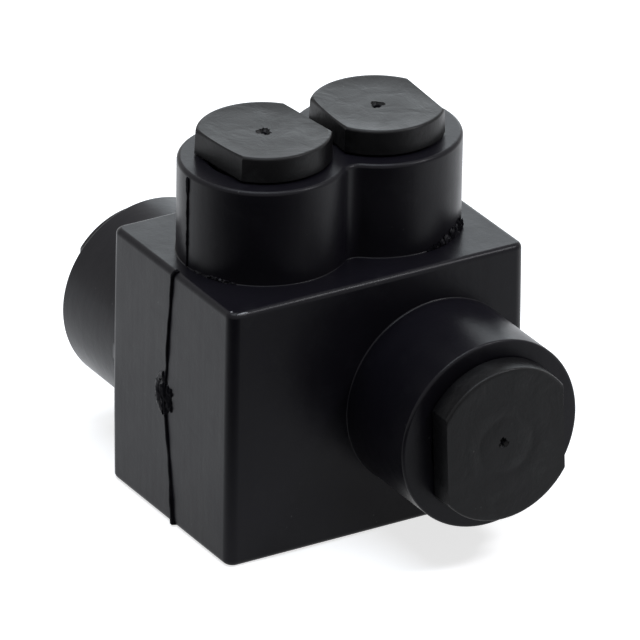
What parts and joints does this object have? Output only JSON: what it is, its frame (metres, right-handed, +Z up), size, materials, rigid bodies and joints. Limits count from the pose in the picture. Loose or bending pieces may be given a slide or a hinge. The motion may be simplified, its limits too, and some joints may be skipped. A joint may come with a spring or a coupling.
{
  "type": "insulated multi-tap connector",
  "caption": "Moulded insulating housing over an aluminium block, with opposed conductor barrels, set screws under access barrels, and a pull-out plug in every barrel.",
  "frame": {"origin": "under the middle of the block, on its flat bottom face", "axes": "+X along the housing's width, towards the front conductor barrel's side; +Y from the front face to the back face; +Z up through the screw barrels"},
  "size_m": [0.0396, 0.0576, 0.0466],
  "materials": {
    "housing_plastic": "satin moulded black",
    "block_aluminium": "sawn and drilled",
    "screw_metal": "turned",
    "plug_plastic": "satin moulded black"
  },
  "bodies": {
    "housing": {"insulating_housing": "housing_plastic", "connector_block": "block_aluminium"},
    "screw_left": {"set_screw_left": "screw_metal"},
    "screw_right": {"set_screw_right": "screw_metal"},
    "screw_plug_left": {"screw_plug_left": "plug_plastic"},
    "screw_plug_right": {"screw_plug_right": "plug_plastic"},
    "port_plug_front": {"port_plug_front": "plug_plastic"},
    "port_plug_back": {"port_plug_back": "plug_plastic"}
  },
  "joints": [
    {"name": "screw_left_travel", "type": "slide", "parent": "housing", "child": "screw_left", "axis": [0, 0, -1], "range_m": [-0.002, 0.008]},
    {"name": "screw_right_travel", "type": "slide", "parent": "housing", "child": "screw_right", "axis": [0, 0, -1], "range_m": [-0.002, 0.008]},
    {"name": "screw_plug_left_pull", "type": "slide", "parent": "housing", "child": "screw_plug_left", "axis": [0, 0, 1], "range_m": [0, 0.012]},
    {"name": "screw_plug_right_pull", "type": "slide", "parent": "housing", "child": "screw_plug_right", "axis": [0, 0, 1], "range_m": [0, 0.012]},
    {"name": "port_plug_front_pull", "type": "slide", "parent": "housing", "child": "port_plug_front", "axis": [0, -1, 0], "range_m": [0, 0.015]},
    {"name": "port_plug_back_pull", "type": "slide", "parent": "housing", "child": "port_plug_back", "axis": [0, 1, 0], "range_m": [0, 0.015]}
  ]
}
